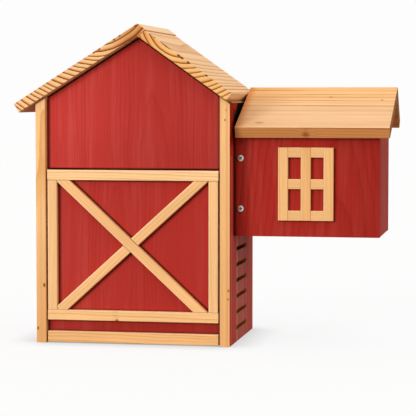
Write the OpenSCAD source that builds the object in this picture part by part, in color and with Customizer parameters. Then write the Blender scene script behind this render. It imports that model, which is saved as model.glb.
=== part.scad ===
// Squirrel house: a boarded nest box with a swinging front, and an annex on its right side.
// Millimetres. The front faces -Y, the annex points to +X, and up is +Z.
// The origin is the centre of the main box's base.

/* [Main box] */
// Width over the two side panels
body_w = 251; // [200:1:320]
// Depth from the post fronts to the back
body_d = 185; // [170:1:240]
// Height of the ridge above the base
overall_h = 406.4; // [385:0.1:480]
// Thickness of every wall and floor board
board_t = 12.7; // [10:0.1:15]
// Depth of the front corner posts
post_d = 21; // [20:0.5:30]
// Distance of the gable panel behind the post fronts
gable_recess = 8; // [6:0.5:8]
// Height of the gable panel's lower edge
gable_bottom_h = 223.4; // [210:0.1:240]
// Gap between the gable panel's top edges and the roof
gable_top_gap = 2.4; // [0.5:0.1:4]

/* [Main roof] */
// Thickness of the left roof board
roof_t = 13.2; // [10:0.1:15]
// Height of the left board's bevelled end above the right board
lap_step = 1.4; // [0.4:0.1:2]
// Pitch of the left slope in degrees
left_pitch = 32; // [28:0.5:36]
// Pitch of the right slope in degrees
right_pitch = 35.5; // [30:0.5:40]
// Reach of the roof in front of the posts
roof_front_overhang = 5.5; // [0:0.5:20]
// Reach of the left board past the side, along the slope
left_overhang = 23.7; // [5:0.1:40]
// Distance that the right board stops short of the side's outer face, along the slope
right_set_in = 4.2; // [4:0.1:8]

/* [Floor] */
// Radius of the drain holes
drain_r = 4; // [2:0.5:6]
// Distance of the drain holes from the edges of the floor
drain_inset = 28; // [15:1:45]

/* [Back fixing holes] */
// Radius of the fixing holes
fixing_r = 2.75; // [2:0.05:4]
// Distance between the two fixing holes
fixing_spacing = 120; // [60:1:140]
// Height of the lower fixing hole
fixing_h = 70; // [40:1:90]

/* [Door] */
// Gap between a post and the ends of the rails
door_side_gap = 1.6; // [0.8:0.1:2]
// Distance that the panel and the stiles stop short of the rail ends
stile_set_in = 0.5; // [0:0.1:3]
// Gap between the gable panel and the top of the door
door_top_gap = 1.6; // [1.6:0.1:3]
// Gap between the base plane and the bottom of the door
door_bottom_gap = 1.2; // [0.5:0.1:4]
// Thickness of the door panel
door_panel_t = 9; // [8:0.5:10]
// Thickness of the battens on the door
batten_t = 7; // [5:0.5:7]
// Gap between the back of the door and the front edge of the floor
door_stop_gap = 0.3; // [0.2:0.1:1]
// Width of the stiles
stile_w = 12.4; // [8:0.1:18]
// Width of the top and bottom rails
rail_w = 13.1; // [8:0.1:18]
// Height of the lower edge of the bottom rail
bottom_rail_h = 29.5; // [22:0.5:45]
// Height of the kick bar
kick_bar_w = 14; // [8:0.1:18]
// Width of the diagonal braces
brace_w = 12.6; // [6:0.1:18]
// Distance of the long brace's middle from the left stile, at the top rail
long_brace_top_in = 7.2; // [2:0.1:14]
// Distance of the long brace's middle from the right stile, at the bottom rail
long_brace_bottom_in = 9.8; // [2:0.1:14]
// Distance of the half braces' middle from the right stile, at the top rail
half_brace_top_in = 9.4; // [2:0.1:14]
// Distance of the half braces' middle from the left stile, at the bottom rail
half_brace_bottom_in = 3.8; // [2:0.1:14]

/* [Door pivot] */
// Height of the pivot pins
pivot_h = 162; // [145:1:165]
// Radius of the pins
pin_r = 1.5; // [1:0.1:1.8]
// Radial clearance of a pin in its post
pin_clearance = 0.05; // [0.02:0.01:0.1]
// Length of a pin inside the door panel
pin_in_door = 20; // [12:1:30]
// Length of a pin inside its post
pin_in_post = 8; // [5:0.5:8]

/* [Ladder slots] */
// Number of slots
slot_count = 6; // [3:1:6]
// Height of a slot
slot_h = 5; // [4.5:0.1:7]
// Length of a slot
slot_len = 78; // [50:1:95]
// Height of the middle of the lowest slot
slot_first_h = 17.7; // [14:0.1:22]
// Distance from one slot to the next
slot_pitch = 20.4; // [14:0.1:21]

/* [Ways in] */
// Radius of the doorway from the annex into the nest chamber
doorway_r = 34; // [25:0.5:34]
// Height of the middle of the doorway
doorway_h = 200; // [195:1:210]
// Radius of the hole in the annex floor
entry_r = 34; // [25:0.5:34]
// Distance from the side panel to the edge of that hole
entry_gap = 8; // [5:0.5:30]

/* [Annex] */
// Length from the side panel to the outer face of the end
annex_len = 185; // [160:1:240]
// Distance of the annex front behind the post fronts
annex_set_back = 29.5; // [25:0.5:40]
// Depth of the annex over its front and back panels
annex_d = 135.5; // [132:0.5:140]
// Height of the underside of the annex
annex_bottom_h = 138.3; // [132:0.1:150]
// Gap between the side panel and the annex boards
annex_gap = 1; // [0.3:0.1:2]
// Section of the square cleats that carry the annex
cleat_w = 18; // [16:0.5:18]
// Length of the cleats
cleat_len = 104; // [100:1:110]

/* [Annex roof] */
// Thickness of the annex roof boards
annex_roof_t = 14.5; // [10:0.5:16]
// Height of the annex ridge
annex_ridge_h = 327.2; // [325:0.1:340]
// Distance from the face of the annex front back to the ridge
annex_ridge_back = 110.5; // [90:0.5:112]
// Pitch of the front slope in degrees
annex_front_pitch = 21.7; // [19:0.1:23]
// Pitch of the rear slope in degrees
annex_rear_pitch = 45.5; // [42:0.5:48]
// Reach of the front eave past the annex front
annex_front_overhang = 17; // [8:0.5:22]
// Reach of the rear eave past the annex back
annex_rear_overhang = 18; // [15:0.5:19]
// Reach of the roof past the end panel
annex_end_overhang = 13.4; // [5:0.1:25]
// Gap between the side panel and the annex roof
annex_roof_gap = 3.8; // [3.8:0.1:8]

/* [Mock window] */
// Width over the outer uprights
window_w = 70; // [55:0.5:90]
// Height of the uprights
window_h = 92.1; // [70:0.1:100]
// Width of every bar
window_bar_w = 12.5; // [8:0.1:15]
// Thickness of the bars
window_t = 5; // [3:0.5:8]
// Height of the window above the underside of the annex
window_sill = 20.6; // [14:0.1:30]

/* [Screws] */
// Radius of the pan head
head_r = 4.2; // [3:0.1:5]
// Height of the pan head
head_h = 2.6; // [1.5:0.1:3.5]
// Radius of the shank
shank_r = 2; // [1:0.1:2.2]
// Length of the shank
shank_len = 28; // [22:0.5:29]
// Height of the lower annex screw above the underside of the annex
screw_h = 34.9; // [30:0.1:38]
// Distance between the two annex screws
screw_spacing = 64; // [58:0.5:68]
// Distance between the two screws that hold a cleat to the side panel
cleat_screw_spacing = 30; // [24:1:34]

/* [Hidden] */
$fn = 64;
stain = "#a52a27";
pine = "#edbb80";
steel = "#c4c4c4";

// Planes of the main box
front_y = -body_d / 2;
back_y = body_d / 2;
side_x = body_w / 2;
inner_x = side_x - board_t;
chamber_back_y = back_y - board_t;

// Main roof: the ridge, the line under it and the wall tops, in the XZ plane
tan_l = tan(left_pitch);
tan_r = tan(right_pitch);
lap = roof_t / sin(left_pitch + right_pitch);
apex_x = side_x * (tan_r - tan_l) / (tan_l + tan_r);
apex_h = overall_h - lap * (sin(left_pitch) + sin(right_pitch));
wall_h = apex_h - (apex_x + side_x) * tan_l;
ridge = [apex_x + lap * (cos(left_pitch) - cos(right_pitch)), overall_h];
function under_roof(x) = x < apex_x ? wall_h + (x + side_x) * tan_l : wall_h + (side_x - x) * tan_r;
left_len = (ridge[0] + side_x + roof_t * sin(left_pitch)) / cos(left_pitch) + left_overhang;
right_len = (side_x - ridge[0] + roof_t * sin(right_pitch)) / cos(right_pitch) - right_set_in;

// Door
door_front_y = front_y + gable_recess - batten_t;
door_panel_y = front_y + gable_recess;
door_back_y = door_panel_y + door_panel_t;
rail_x = inner_x - door_side_gap;
stile_x = rail_x - stile_set_in;
door_top_h = gable_bottom_h - door_top_gap;
brace_top_h = door_top_h - rail_w;
brace_bottom_h = bottom_rail_h + rail_w;
brace_x = stile_x - stile_w;
pivot_y = door_panel_y + door_panel_t / 2;

// Middle lines of the braces, where they meet the rails
long_brace_top = [long_brace_top_in - brace_x, brace_top_h];
long_brace_bottom = [brace_x - long_brace_bottom_in, brace_bottom_h];
half_brace_top = [brace_x - half_brace_top_in, brace_top_h];
half_brace_bottom = [half_brace_bottom_in - brace_x, brace_bottom_h];

// Annex
annex_x = side_x + annex_len;
annex_start_x = side_x + annex_gap;
annex_front_y = front_y + annex_set_back;
annex_back_y = annex_front_y + annex_d;
annex_in_front_y = annex_front_y + board_t;
annex_in_back_y = annex_back_y - board_t;
annex_floor_h = annex_bottom_h + board_t;
cleat_x = side_x + cleat_w / 2;
front_cleat_y = annex_in_front_y + cleat_w / 2;
back_cleat_y = annex_in_back_y - cleat_w / 2;
entry_y = (annex_in_front_y + annex_in_back_y) / 2;
lower_screw_h = annex_bottom_h + screw_h;
cleat_screw_h = lower_screw_h + (screw_spacing - cleat_screw_spacing) / 2;

// Annex roof, in the YZ plane
annex_ridge = [annex_front_y + annex_ridge_back, annex_ridge_h];
annex_lap = annex_roof_t / sin(annex_front_pitch + annex_rear_pitch);
annex_apex = annex_ridge + annex_lap * [
    cos(annex_rear_pitch) - cos(annex_front_pitch),
    -sin(annex_rear_pitch) - sin(annex_front_pitch)];
annex_front_len = (annex_ridge_back + annex_front_overhang) / cos(annex_front_pitch);
annex_rear_len = (annex_back_y + annex_rear_overhang - annex_ridge[0]) / cos(annex_rear_pitch);
function under_annex_roof(y) = y < annex_apex[0]
    ? annex_apex[1] - (annex_apex[0] - y) * tan(annex_front_pitch)
    : annex_apex[1] - (y - annex_apex[0]) * tan(annex_rear_pitch);

// Mock window
window_x = side_x + annex_len / 2;
window_bottom_h = annex_bottom_h + window_sill;
window_pane_w = (window_w - 3 * window_bar_w) / 2;
window_mid_h = window_bottom_h + (window_h - window_bar_w) / 2;

// A profile drawn in XZ, from depth y0 back to y1
module along_y(y0, y1) {
    translate([0, y1, 0]) rotate([90, 0, 0]) linear_extrude(height = y1 - y0) children();
}

// A profile drawn in YZ, from x0 to x1
module along_x(x0, x1) {
    translate([x0, 0, 0]) rotate([90, 0, 90]) linear_extrude(height = x1 - x0) children();
}

// A board between two opposite corners
module board(a, b) {
    translate(a) cube(b - a);
}

// A pan-head screw with its shank along +Z and the head's flat face at the origin
module screw() {
    cylinder(r = shank_r, h = shank_len);
    rotate_extrude() polygon(concat(
        [[0, 0], [head_r, 0]],
        [for (a = [0:15:75]) [head_r * (0.62 + 0.38 * cos(a)), -head_h * (0.3 + 0.7 * sin(a))]],
        [[0, -head_h]]));
}

// The hole that a shank along +Z fills, open towards the head
module shank_hole() {
    translate([0, 0, -head_h]) cylinder(r = shank_r, h = shank_len + head_h);
}

// The two places of the annex screws, on the front (1) or the back (-1)
module annex_screw_places(face) {
    y = face > 0 ? annex_front_y : annex_back_y;
    for (i = [0:1]) {
        translate([cleat_x, y, lower_screw_h + i * screw_spacing]) rotate([-90 * face, 0, 0]) children();
    }
}

// The two places of the screws that hold one cleat
module cleat_screw_places(y) {
    for (i = [0:1]) {
        translate([side_x + cleat_w, y, cleat_screw_h + i * cleat_screw_spacing])
            rotate([0, -90, 0]) children();
    }
}

// Side wall outline with its top bevelled to the roof, for the left (-1) or the right (1)
module wall_outline(side) {
    polygon([
        [side * inner_x, 0], [side * side_x, 0],
        [side * side_x, wall_h], [side * inner_x, under_roof(side * inner_x)]]);
}

// Outline under the main roof between the walls, from a given height up to a gap below the roof
module gable_outline(bottom_h, gap = 0) {
    left_drop = gap / cos(left_pitch);
    right_drop = gap / cos(right_pitch);
    peak_in = (left_drop - right_drop) / (tan_l + tan_r);
    polygon([
        [-inner_x, bottom_h], [inner_x, bottom_h],
        [inner_x, under_roof(inner_x) - right_drop],
        [apex_x + peak_in, apex_h + peak_in * tan_l - left_drop],
        [-inner_x, under_roof(-inner_x) - left_drop]]);
}

// Bore in a post for one pivot pin
module post_bore(side) {
    bore_len = pin_in_post + 0.5;
    translate([side * (inner_x + bore_len / 2), pivot_y, pivot_h]) rotate([0, 90, 0])
        cylinder(r = pin_r + pin_clearance, h = bore_len, center = true);
}

// One pivot pin, from inside the door panel to inside the post
module pivot_pin(side) {
    from_x = stile_x - pin_in_door;
    to_x = inner_x + pin_in_post;
    translate([side * (from_x + to_x) / 2, pivot_y, pivot_h]) rotate([0, 90, 0])
        cylinder(r = pin_r, h = to_x - from_x, center = true);
}

module left_side_panel() {
    color(stain) along_y(front_y + post_d, back_y) wall_outline(-1);
}

module right_side_panel() {
    color(stain) difference() {
        along_y(front_y + post_d, back_y) wall_outline(1);
        for (i = [0:slot_count - 1]) {
            translate([inner_x + board_t / 2, 0, slot_first_h + i * slot_pitch])
                cube([board_t + 2, slot_len, slot_h], center = true);
        }
        translate([inner_x - 1, entry_y, doorway_h]) rotate([0, 90, 0])
            cylinder(r = doorway_r, h = board_t + 2);
        cleat_screw_places(front_cleat_y) shank_hole();
        cleat_screw_places(back_cleat_y) shank_hole();
    }
}

module post(side) {
    difference() {
        along_y(front_y, front_y + post_d) wall_outline(side);
        post_bore(side);
    }
}

module left_post() {
    color(pine) post(-1);
}

module right_post() {
    color(pine) post(1);
}

module back_panel() {
    color(stain) difference() {
        along_y(chamber_back_y, back_y) gable_outline(0);
        for (i = [0:1]) {
            translate([0, back_y + 1, fixing_h + i * fixing_spacing]) rotate([90, 0, 0])
                cylinder(r = fixing_r, h = board_t + 2);
        }
    }
}

module gable_front_panel() {
    color(stain) along_y(door_panel_y, door_panel_y + board_t) gable_outline(gable_bottom_h, gable_top_gap);
}

module floor_panel() {
    floor_y = door_back_y + door_stop_gap;
    color(pine) difference() {
        board([-inner_x, floor_y, 0], [inner_x, chamber_back_y, board_t]);
        for (x = [-inner_x + drain_inset, inner_x - drain_inset]) {
            for (y = [floor_y + drain_inset, chamber_back_y - drain_inset]) {
                translate([x, y, -1]) cylinder(r = drain_r, h = board_t + 2);
            }
        }
    }
}

// The left board laps over the right one: its upper end is bevelled along the right slope
module roof_left_board() {
    low = ridge - left_len * [cos(left_pitch), sin(left_pitch)];
    color(pine) along_y(front_y - roof_front_overhang, back_y) polygon([
        ridge,
        ridge + lap * [cos(right_pitch), -sin(right_pitch)],
        low + roof_t * [sin(left_pitch), -cos(left_pitch)],
        low]);
}

// The right board butts against the underside of the left one, a step below the end of its bevel
module roof_right_board() {
    right_t = roof_t - lap_step;
    right_lap = right_t / sin(left_pitch + right_pitch);
    end_dir = [-sin(right_pitch), -cos(right_pitch)];
    low = ridge + right_len * [cos(right_pitch), -sin(right_pitch)] + lap_step * end_dir;
    color(pine) along_y(front_y - roof_front_overhang, back_y) polygon([
        [apex_x, apex_h] + right_lap * [cos(left_pitch), sin(left_pitch)],
        low,
        low + right_t * end_dir,
        [apex_x, apex_h]]);
}

module annex_front_panel() {
    color(stain) difference() {
        along_x(annex_start_x, annex_x) polygon([
            [annex_front_y, annex_bottom_h], [annex_in_front_y, annex_bottom_h],
            [annex_in_front_y, under_annex_roof(annex_in_front_y)],
            [annex_front_y, under_annex_roof(annex_front_y)]]);
        annex_screw_places(1) shank_hole();
    }
}

module annex_back_panel() {
    color(stain) difference() {
        along_x(annex_start_x, annex_x) polygon([
            [annex_in_back_y, annex_bottom_h], [annex_back_y, annex_bottom_h],
            [annex_back_y, under_annex_roof(annex_back_y)],
            [annex_in_back_y, under_annex_roof(annex_in_back_y)]]);
        annex_screw_places(-1) shank_hole();
    }
}

module annex_end_panel() {
    color(stain) along_x(annex_x - board_t, annex_x) polygon([
        [annex_in_front_y, annex_bottom_h], [annex_in_back_y, annex_bottom_h],
        [annex_in_back_y, under_annex_roof(annex_in_back_y)],
        annex_apex,
        [annex_in_front_y, under_annex_roof(annex_in_front_y)]]);
}

module annex_floor_panel() {
    color(stain) difference() {
        board([annex_start_x, annex_in_front_y, annex_bottom_h],
              [annex_x - board_t, annex_in_back_y, annex_floor_h]);
        translate([side_x + entry_gap + entry_r, entry_y, annex_bottom_h - 1])
            cylinder(r = entry_r, h = board_t + 2);
    }
}

// The front board laps over the rear one at the annex ridge
module annex_roof_front_board() {
    low = annex_ridge - annex_front_len * [cos(annex_front_pitch), sin(annex_front_pitch)];
    color(pine) along_x(side_x + annex_roof_gap, annex_x + annex_end_overhang) polygon([
        annex_ridge,
        annex_ridge + annex_lap * [cos(annex_rear_pitch), -sin(annex_rear_pitch)],
        low + annex_roof_t * [sin(annex_front_pitch), -cos(annex_front_pitch)],
        low]);
}

module annex_roof_rear_board() {
    low = annex_ridge + annex_rear_len * [cos(annex_rear_pitch), -sin(annex_rear_pitch)];
    color(pine) along_x(side_x + annex_roof_gap, annex_x + annex_end_overhang) polygon([
        annex_ridge + annex_lap * [cos(annex_rear_pitch), -sin(annex_rear_pitch)],
        low,
        low + annex_roof_t * [-sin(annex_rear_pitch), -cos(annex_rear_pitch)],
        annex_apex]);
}

module cleat(y) {
    translate([side_x, y - cleat_w / 2, annex_floor_h]) cube([cleat_w, cleat_w, cleat_len]);
}

module annex_front_cleat() {
    color(pine) difference() {
        cleat(front_cleat_y);
        annex_screw_places(1) shank_hole();
        cleat_screw_places(front_cleat_y) shank_hole();
    }
}

module annex_back_cleat() {
    color(pine) difference() {
        cleat(back_cleat_y);
        annex_screw_places(-1) shank_hole();
        cleat_screw_places(back_cleat_y) shank_hole();
    }
}

module annex_front_screws() {
    color(steel) annex_screw_places(1) screw();
}

module annex_back_screws() {
    color(steel) annex_screw_places(-1) screw();
}

module cleat_screws() {
    color(steel) cleat_screw_places(front_cleat_y) screw();
    color(steel) cleat_screw_places(back_cleat_y) screw();
}

// One full-height upright of the mock window, on the left (-1), in the middle (0) or on the right (1)
module window_upright(place) {
    x = window_x + place * (window_bar_w + window_pane_w);
    board([x - window_bar_w / 2, annex_front_y - window_t, window_bottom_h],
          [x + window_bar_w / 2, annex_front_y, window_bottom_h + window_h]);
}

// The two short rails of the mock window between the uprights, from a given height
module window_rails(h) {
    for (side = [-1, 1]) {
        x = window_x + side * (window_bar_w + window_pane_w) / 2;
        board([x - window_pane_w / 2, annex_front_y - window_t, h],
              [x + window_pane_w / 2, annex_front_y, h + window_bar_w]);
    }
}

module window_left_upright() {
    color(pine) window_upright(-1);
}

module window_middle_upright() {
    color(pine) window_upright(0);
}

module window_right_upright() {
    color(pine) window_upright(1);
}

module window_top_rails() {
    color(pine) window_rails(window_bottom_h + window_h - window_bar_w);
}

module window_middle_rails() {
    color(pine) window_rails(window_mid_h);
}

module window_bottom_rails() {
    color(pine) window_rails(window_bottom_h);
}

module door_panel() {
    color(stain) difference() {
        board([-stile_x, door_panel_y, door_bottom_gap], [stile_x, door_back_y, door_top_h]);
        pivot_pin(-1);
        pivot_pin(1);
    }
}

// One straight batten on the face of the door panel
module batten(x0, x1, h0, h1) {
    board([x0, door_front_y, h0], [x1, door_panel_y, h1]);
}

module door_top_rail() {
    color(pine) batten(-rail_x, rail_x, brace_top_h, door_top_h);
}

module door_bottom_rail() {
    color(pine) batten(-rail_x, rail_x, bottom_rail_h, brace_bottom_h);
}

module door_left_stile() {
    color(pine) batten(-stile_x, -brace_x, brace_bottom_h, brace_top_h);
}

module door_right_stile() {
    color(pine) batten(brace_x, stile_x, brace_bottom_h, brace_top_h);
}

module door_kick_bar() {
    color(pine) batten(-rail_x, rail_x, door_bottom_gap, door_bottom_gap + kick_bar_w);
}

// The opening between the stiles and the rails
module frame_opening() {
    polygon([
        [-brace_x, brace_bottom_h], [brace_x, brace_bottom_h],
        [brace_x, brace_top_h], [-brace_x, brace_top_h]]);
}

// A strip as wide as a brace, along the line between two points and past both of them
module brace_strip(top, bottom) {
    run = bottom - top;
    side = brace_w / 2 / norm(run) * [-run[1], run[0]];
    polygon([top - run - side, bottom + run - side, bottom + run + side, top - run + side]);
}

// A brace cut to the stiles and the rails at both ends
module brace_outline(top, bottom) {
    intersection() {
        brace_strip(top, bottom);
        frame_opening();
    }
}

// The crossing brace without the part that the full-length one fills,
// above it (1) or below it (-1)
module half_brace_outline(part) {
    reach = [part * 2 * body_w, 0];
    intersection() {
        difference() {
            brace_outline(half_brace_top, half_brace_bottom);
            brace_strip(long_brace_top, long_brace_bottom);
        }
        polygon([
            long_brace_top, long_brace_bottom,
            long_brace_bottom + reach, long_brace_top + reach]);
    }
}

module door_long_brace() {
    color(pine) along_y(door_front_y, door_panel_y) brace_outline(long_brace_top, long_brace_bottom);
}

module door_upper_brace() {
    color(pine) along_y(door_front_y, door_panel_y) half_brace_outline(1);
}

module door_lower_brace() {
    color(pine) along_y(door_front_y, door_panel_y) half_brace_outline(-1);
}

module door_pivot_pins() {
    color(steel) pivot_pin(-1);
    color(steel) pivot_pin(1);
}

left_side_panel();
right_side_panel();
left_post();
right_post();
back_panel();
gable_front_panel();
floor_panel();
roof_left_board();
roof_right_board();
annex_front_panel();
annex_back_panel();
annex_end_panel();
annex_floor_panel();
annex_roof_front_board();
annex_roof_rear_board();
annex_front_cleat();
annex_back_cleat();
annex_front_screws();
annex_back_screws();
cleat_screws();
window_left_upright();
window_middle_upright();
window_right_upright();
window_top_rails();
window_middle_rails();
window_bottom_rails();
door_panel();
door_top_rail();
door_bottom_rail();
door_left_stile();
door_right_stile();
door_long_brace();
door_upper_brace();
door_lower_brace();
door_kick_bar();
door_pivot_pins();
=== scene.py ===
import math

import bmesh
import bpy
import numpy as np
from mathutils import Euler, Matrix, Vector


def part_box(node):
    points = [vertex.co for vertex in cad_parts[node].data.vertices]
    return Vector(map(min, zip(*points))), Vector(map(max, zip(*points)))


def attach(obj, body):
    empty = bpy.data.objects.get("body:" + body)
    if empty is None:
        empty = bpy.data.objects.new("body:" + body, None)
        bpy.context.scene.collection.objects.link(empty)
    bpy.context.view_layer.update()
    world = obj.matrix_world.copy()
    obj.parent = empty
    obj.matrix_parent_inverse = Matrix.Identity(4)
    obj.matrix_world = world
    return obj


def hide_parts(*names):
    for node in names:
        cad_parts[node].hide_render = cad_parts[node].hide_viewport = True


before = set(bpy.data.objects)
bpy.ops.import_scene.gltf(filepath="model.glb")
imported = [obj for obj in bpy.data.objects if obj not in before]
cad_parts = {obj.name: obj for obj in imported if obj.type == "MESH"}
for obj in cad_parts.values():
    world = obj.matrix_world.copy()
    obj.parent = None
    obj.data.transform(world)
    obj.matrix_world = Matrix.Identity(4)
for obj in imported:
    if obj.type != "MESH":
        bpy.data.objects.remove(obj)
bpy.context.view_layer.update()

# The room: the house stands on white paper in a white room, lit by a large soft lamp from the front left
# and a weaker one from the right. The camera is 2.3 m away, right of the front and level with the annex
# roof.
scene = bpy.context.scene
scene.view_settings.view_transform = "Standard"
lens = bpy.data.cameras.new("studio_camera")
lens.lens = 152.02
lens.sensor_width = 36
studio_camera = bpy.data.objects.new("studio_camera", lens)
studio_camera.location = (0.4973, -2.2558, 0.3137)
studio_camera.rotation_euler = (math.radians(86.4), 0, math.radians(10.46))
scene.collection.objects.link(studio_camera)
scene.camera = studio_camera


def linear(colour):
    """The linear RGBA of an sRGB hex colour.

    A channel c becomes c / 12.92 below 0.04045, and otherwise ((c + 0.055) / 1.055) to the power 2.4.
    """
    c = np.array([int(colour[i:i + 2], 16) for i in (1, 3, 5)]) / 255
    c = np.where(c <= 0.04045, c / 12.92, ((c + 0.055) / 1.055) ** 2.4)
    return (*c.tolist(), 1.0)


def blank(block):
    """The emptied node tree of a material or a world."""
    block.use_nodes = True
    block.node_tree.nodes.clear()
    return block.node_tree


def add(tree, kind, links=(), **settings):
    """Adds a node of that kind, with its settings.

    links gives each input, by name or number, a value or an output. A node there stands for its first
    output.
    """
    node = tree.nodes.new("ShaderNode" + kind)
    for name, value in settings.items():
        setattr(node, name, value)
    for name, value in dict(links).items():
        if isinstance(value, bpy.types.Node):
            value = value.outputs[0]
        if isinstance(value, bpy.types.NodeSocket):
            tree.links.new(value, node.inputs[name])
        else:
            node.inputs[name].default_value = value
    return node


def seen_by_eye(tree):
    """1 for rays that reach the camera, also by mirror or glass, and 0 for those that light the house."""
    path = add(tree, "LightPath").outputs
    eye = add(tree, "Math", {0: path["Is Camera Ray"], 1: path["Is Glossy Ray"]}, operation="MAXIMUM")
    return add(tree, "Math", {0: eye, 1: path["Is Transmission Ray"]}, operation="MAXIMUM")


# White paper: it looks almost white, with a soft shadow close to the house, and lights the house like grey.
paper = bpy.data.materials.new("white_paper_floor")
tree = blank(paper)
plain = add(tree, "BsdfDiffuse", {"Color": linear("#9C9895")})
shaded = add(tree, "BsdfDiffuse", {"Color": linear("#605F5E")})
near = add(tree, "AmbientOcclusion", {"Distance": 0.045}, samples=16).outputs["AO"]
glow = add(tree, "MapRange", {0: near, 3: 0.40, 4: 0.865})
glow = add(tree, "Emission", {"Color": linear("#FFFFFF"), "Strength": glow})
white = add(tree, "AddShader", {0: shaded, 1: glow})
both = add(tree, "MixShader", {0: seen_by_eye(tree), 1: plain, 2: white})
add(tree, "OutputMaterial", {"Surface": both})

# A flat grid of squares, 1 m each. Point (i, j) of the grid is corner i times the row's points, plus j.
floor_reach, floor_squares = 9, 18
row_points = floor_squares + 1
reach = np.linspace(-floor_reach, floor_reach, row_points)
across, deep = np.meshgrid(reach, reach, indexing="ij")
corner = (np.arange(floor_squares)[:, None] * row_points + np.arange(floor_squares)).ravel()
sheet = bpy.data.meshes.new("paper_floor")
sheet.from_pydata(np.stack([across, deep, 0 * across], -1).reshape(-1, 3), [],
                  np.stack([corner, corner + row_points, corner + row_points + 1, corner + 1], -1))
sheet.materials.append(paper)
paper_floor = bpy.data.objects.new("paper_floor", sheet)
scene.collection.objects.link(paper_floor)

room = bpy.data.worlds.new("white_room")
tree = blank(room)
way = add(tree, "TexCoord").outputs["Generated"]
overhead = add(tree, "MapRange", {0: add(tree, "SeparateXYZ", {0: way}).outputs["Z"], 3: 0.36, 4: 1.2})
light = add(tree, "Background", {"Color": linear("#FFFFFF"), "Strength": overhead})
seen = add(tree, "Background", {"Color": linear("#FDFDFD"), "Strength": 1.0})
both = add(tree, "MixShader", {0: seen_by_eye(tree), 1: light, 2: seen})
add(tree, "OutputWorld", {"Surface": both})
scene.world = room

for name, toward, strength, spread in (("soft_key_lamp", (0.55, 0.85, -0.18), 1.6, 22),
                                       ("fill_lamp", (-0.9, 0.5, -0.2), 0.5, 40)):
    sun = bpy.data.lights.new(name, "SUN")
    sun.energy = strength
    sun.angle = math.radians(spread)
    lamp = bpy.data.objects.new(name, sun)
    lamp.rotation_euler = Vector(toward).to_track_quat("-Z", "Y").to_euler()
    scene.collection.objects.link(lamp)

# The two side panels: single half-inch pine boards, cut to the roof's slope at the top, with a red water
# stain brushed on outside. The right one has the ladder's slots and the doorway into the annex.
UPRIGHT = (0, 0, 0)
ALONG_X = (0, math.radians(-90), 0)
ALONG_Y = (math.radians(90), 0, 0)
ACROSS, DEEP, UP = (1, 0, 0), (0, 1, 0), (0, 0, 1)


def face(node, way):
    """Where a CAD node ends towards way, such as "+X", in millimetres."""
    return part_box(node)[way[0] == "+"]["XYZ".index(way[1])] * 1000


def line_of(shade, direction, place, half=0.0, soft=3.0, strength=0.8, patchy=0.2, low=None, high=None):
    """A line of another colour on a board, in millimetres, for pine's bands.

    It lies where a point's way along direction is within half of place, and fades over soft. patchy rubs it
    away in streaks. low and high are its ends in Z, or in X for a level line.
    """
    return direction, place, half, soft, shade, strength, patchy, low, high


def fade(axis, start, stop, tint, on_ends=False):
    """A slow change of a board's colour, for pine's fades: times tint at start, and plain from stop on.

    on_ends keeps it to the end grain. start and stop are along the axis, in millimetres.
    """
    return axis, start, stop, tint, on_ends


def knot(x, y, z, radius, swirl=1.0, black=1.0):
    """A knot in a board, in millimetres, for pine's knots.

    It pushes the rings outwards by swirl radii, round a core as dark as black.
    """
    return Vector((x, y, z)), radius, swirl, black


def resin(tree, share, early, late):
    """What the resin of late wood takes from the colour, (late / early) to the power share, as a ramp."""
    stops = add(tree, "ValToRGB", {0: share})
    last = 4
    for n in range(last + 1):
        if n in (0, last):
            stop = stops.color_ramp.elements[-1 if n else 0]
        else:
            stop = stops.color_ramp.elements.new(n / last)
        stop.color = (*[min(1.0, b / a) ** (n / last) for a, b in zip(early[:3], late[:3])], 1.0)
    return stops


def drawn_out(tree, points, width, length, shift=(0, 0, 0), detail=3.0, roughness=0.5):
    """Noise drawn out along the grain: its spots are about width across and length along, in millimetres."""
    scaled = add(tree, "Mapping", {"Vector": points, "Location": shift,
                                   "Scale": (1 / width, 1 / width, 1 / length)})
    return add(tree, "TexNoise", {"Vector": scaled, "Scale": 1.0, "Detail": detail, "Roughness": roughness})


def round_knots(tree, log, turn, pith, radius, knots):
    """The distance from the pith, pushed outwards round the knots, and how dark their cores are.

    A knot is an oval along the grain. The push falls to nothing 4 radii away, and the core at 1.25 radii.
    """
    core = None
    for centre, size, swirl, black in knots:
        apart = add(tree, "VectorMath", {0: log, 1: turn @ (centre - Vector(pith))}, operation="SUBTRACT")
        oval = add(tree, "VectorMath", {0: apart, 1: (1, 1, 0.6)}, operation="MULTIPLY")
        off = add(tree, "VectorMath", {0: oval}, operation="LENGTH").outputs["Value"]
        push = add(tree, "MapRange", {0: off, 1: 0.0, 2: size * 4, 3: size * swirl, 4: 0.0},
                   interpolation_type="SMOOTHERSTEP")
        radius = add(tree, "Math", {0: radius, 1: push}, operation="ADD")
        dark = add(tree, "MapRange", {0: off, 1: size * 0.45, 2: size * 1.25, 3: black, 4: 0.0},
                   interpolation_type="SMOOTHSTEP")
        core = dark if core is None else add(tree, "Math", {0: core, 1: dark}, operation="MAXIMUM")
    return radius, core


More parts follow.
